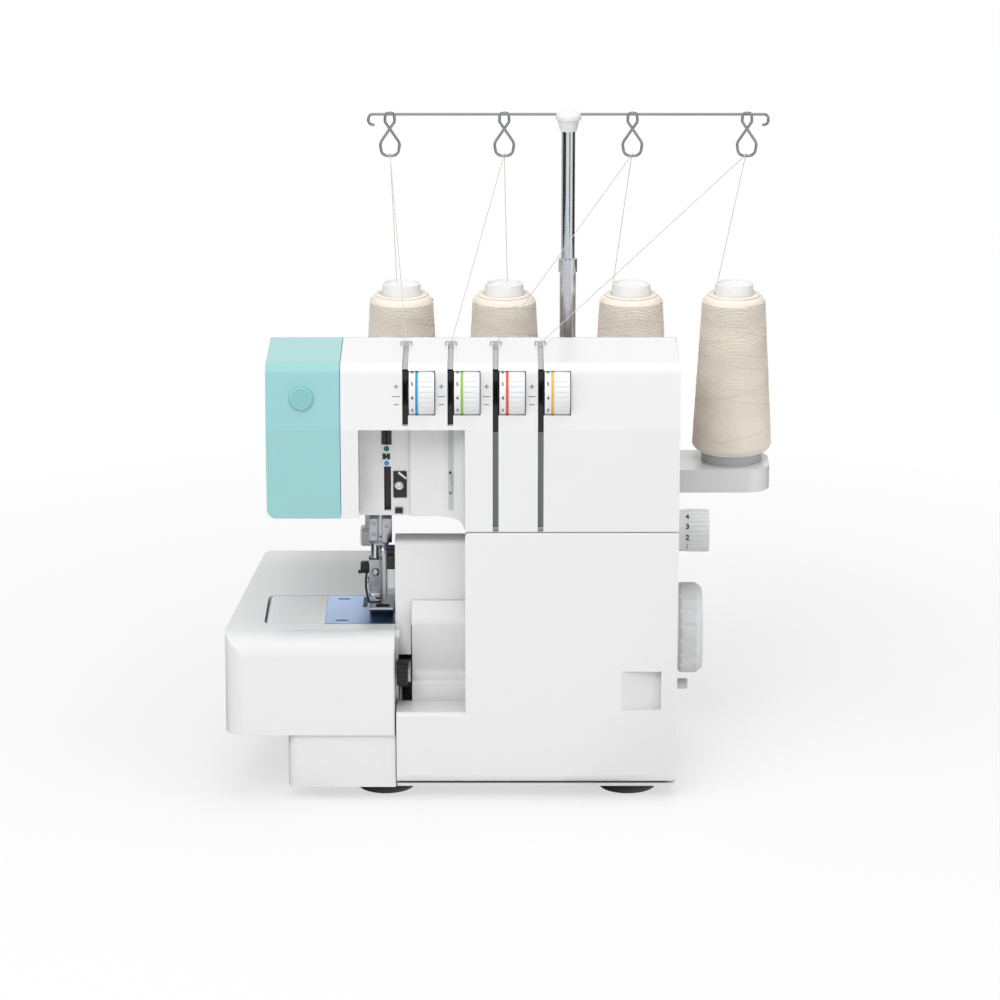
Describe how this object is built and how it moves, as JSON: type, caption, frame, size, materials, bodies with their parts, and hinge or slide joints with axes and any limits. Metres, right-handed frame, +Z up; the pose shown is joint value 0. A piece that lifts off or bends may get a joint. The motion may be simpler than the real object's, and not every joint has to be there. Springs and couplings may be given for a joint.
{
  "type": "overlock sewing machine",
  "caption": "Free-arm overlock sewing machine with extension table, looper cover, tension wheels, cone thread stand and telescopic thread guide.",
  "frame": {"origin": "centre of the outline on the floor under the feet", "axes": "+X to the hand wheel side, +Y to the thread stand at the back, +Z up"},
  "size_m": [0.3543, 0.2356, 0.4045],
  "materials": {
    "white_plastic": null,
    "teal_plastic": null,
    "rubber": null,
    "casting": null,
    "plate_steel": null,
    "blade_steel": null,
    "bronze": null,
    "motor_black": null,
    "belt": null,
    "bright_steel": null,
    "clamp_steel": null,
    "black_plastic": null,
    "dial_plastic": null,
    "grey_plastic": null,
    "holder_plastic": null,
    "core_plastic": null,
    "thread": null,
    "pole_chrome": null
  },
  "bodies": {
    "machine": {"base_tray": "white_plastic", "rubber_feet": "rubber", "main_frame": "casting", "front_housing": "white_plastic", "rear_housing": "white_plastic", "face_cover": "teal_plastic", "face_cap": "teal_plastic", "free_arm": "white_plastic", "stitch_plate": "plate_steel", "bed_cover": "white_plastic", "lower_knife": "blade_steel", "bar_bushes": "bronze", "shaft_bushes": "bronze", "motor": "motor_black", "drive_belt": "belt", "tension_bracket": "bright_steel", "tension_discs": "bright_steel", "channel_liners": "grey_plastic", "thread_guides": "bright_steel", "power_panel": "black_plastic", "spool_stand": "white_plastic", "spool_pins": "bright_steel", "cone_holders": "holder_plastic", "cone_cores": "core_plastic", "thread_cones": "thread", "pole_lower_tube": "pole_chrome", "thread_1": "thread", "thread_2": "thread", "thread_3": "thread", "thread_4": "thread"},
    "table": {"extension_table": "white_plastic"},
    "cover_rod": {"cover_hinge_rod": "bright_steel"},
    "front_cover": {"looper_cover": "white_plastic"},
    "drive": {"hand_wheel": "dial_plastic", "main_shaft": "bright_steel", "drive_pulley": "motor_black"},
    "motor_rotor": {"motor_pulley": "motor_black"},
    "needle": {"needle_bar": "bright_steel", "needle_clamp": "clamp_steel", "needles": "blade_steel"},
    "presser": {"presser_bar": "bright_steel", "presser_foot": "clamp_steel"},
    "lifter": {"presser_lifter": "white_plastic"},
    "looper_upper": {"upper_looper": "blade_steel"},
    "looper_lower": {"lower_looper": "blade_steel"},
    "knife": {"upper_knife": "blade_steel", "knife_holder": "black_plastic"},
    "feed": {"feed_dogs": "blade_steel"},
    "length_dial": {"stitch_length_dial": "dial_plastic"},
    "feed_lever": {"differential_lever": "dial_plastic"},
    "switch": {"power_switch": "black_plastic"},
    "width_wheel": {"cutting_width_wheel": "black_plastic"},
    "thread_tree": {"pole_upper_tube": "pole_chrome", "tree_cap": "white_plastic", "guide_bar": "bright_steel"},
    "tension_1": {"tension_wheel_1": "dial_plastic"},
    "tension_2": {"tension_wheel_2": "dial_plastic"},
    "tension_3": {"tension_wheel_3": "dial_plastic"},
    "tension_4": {"tension_wheel_4": "dial_plastic"}
  },
  "joints": [
    {"name": "table_slide", "type": "slide", "parent": "machine", "child": "table", "axis": [-1, 0, 0], "range_m": [0, 0.095]},
    {"name": "cover_slide", "type": "slide", "parent": "machine", "child": "cover_rod", "axis": [1, 0, 0], "range_m": [0, 0.006]},
    {"name": "cover_fold", "type": "hinge", "parent": "cover_rod", "child": "front_cover", "pos_m": [-0.02525, -0.1077, 0.024], "axis": [1, 0, 0], "range_deg": [0, 80]},
    {"name": "drive_turn", "type": "hinge", "parent": "machine", "child": "drive", "pos_m": [-0.02525, -0.0307, 0.0885], "axis": [1, 0, 0], "continuous": true},
    {"name": "motor_turn", "type": "hinge", "parent": "machine", "child": "motor_rotor", "pos_m": [-0.02525, 0.0233, 0.05], "axis": [1, 0, 0], "continuous": true},
    {"name": "needle_stroke", "type": "slide", "parent": "machine", "child": "needle", "axis": [0, 0, 1], "range_m": [-0.026, 0]},
    {"name": "presser_lift", "type": "slide", "parent": "machine", "child": "presser", "axis": [0, 0, 1], "range_m": [0, 0.0061]},
    {"name": "lifter_swing", "type": "hinge", "parent": "machine", "child": "lifter", "pos_m": [-0.02525, 0.0033, 0.2], "axis": [1, 0, 0], "range_deg": [0, 60]},
    {"name": "upper_looper_rock", "type": "hinge", "parent": "machine", "child": "looper_upper", "pos_m": [-0.04525, -0.1147, 0.085], "axis": [0, 1, 0], "range_deg": [-10, 10]},
    {"name": "lower_looper_rock", "type": "hinge", "parent": "machine", "child": "looper_lower", "pos_m": [-0.12025, -0.1147, 0.075], "axis": [0, 1, 0], "range_deg": [-12, 12]},
    {"name": "knife_stroke", "type": "slide", "parent": "machine", "child": "knife", "axis": [0, 0, 1], "range_m": [-0.006, 0]},
    {"name": "feed_travel", "type": "slide", "parent": "machine", "child": "feed", "axis": [0, 1, 0], "range_m": [-0.002, 0.002]},
    {"name": "tension_turn_1", "type": "hinge", "parent": "machine", "child": "tension_1", "pos_m": [-0.02525, -0.102, 0.2652], "axis": [1, 0, 0], "range_deg": [-150, 150]},
    {"name": "tension_turn_2", "type": "hinge", "parent": "machine", "child": "tension_2", "pos_m": [-0.02525, -0.102, 0.2652], "axis": [1, 0, 0], "range_deg": [-150, 150]},
    {"name": "tension_turn_3", "type": "hinge", "parent": "machine", "child": "tension_3", "pos_m": [-0.02525, -0.102, 0.2652], "axis": [1, 0, 0], "range_deg": [-150, 150]},
    {"name": "tension_turn_4", "type": "hinge", "parent": "machine", "child": "tension_4", "pos_m": [-0.02525, -0.102, 0.2652], "axis": [1, 0, 0], "range_deg": [-150, 150]},
    {"name": "length_turn", "type": "hinge", "parent": "machine", "child": "length_dial", "pos_m": [-0.02525, -0.0307, 0.154], "axis": [1, 0, 0], "range_deg": [-130, 130]},
    {"name": "feed_lever_swing", "type": "hinge", "parent": "machine", "child": "feed_lever", "pos_m": [-0.02525, -0.0307, 0.07], "axis": [1, 0, 0], "range_deg": [-18, 18]},
    {"name": "switch_rock", "type": "hinge", "parent": "machine", "child": "switch", "pos_m": [0.10375, -0.1147, 0.099], "axis": [0, 1, 0], "range_deg": [-8, 8]},
    {"name": "width_turn", "type": "hinge", "parent": "machine", "child": "width_wheel", "pos_m": [-0.02525, -0.0982, 0.0805], "axis": [1, 0, 0], "range_deg": [-150, 150]},
    {"name": "tree_slide", "type": "slide", "parent": "machine", "child": "thread_tree", "axis": [0, 0, 1], "range_m": [-0.075, 0], "deforming": ["thread_1", "thread_2", "thread_3", "thread_4"]}
  ],
  "couplings": [
    {"joint": "motor_turn", "follows": "drive_turn", "ratio": 3.1429},
    {"joint": "presser_lift", "follows": "lifter_swing", "m_per_rad": 0.005729}
  ]
}
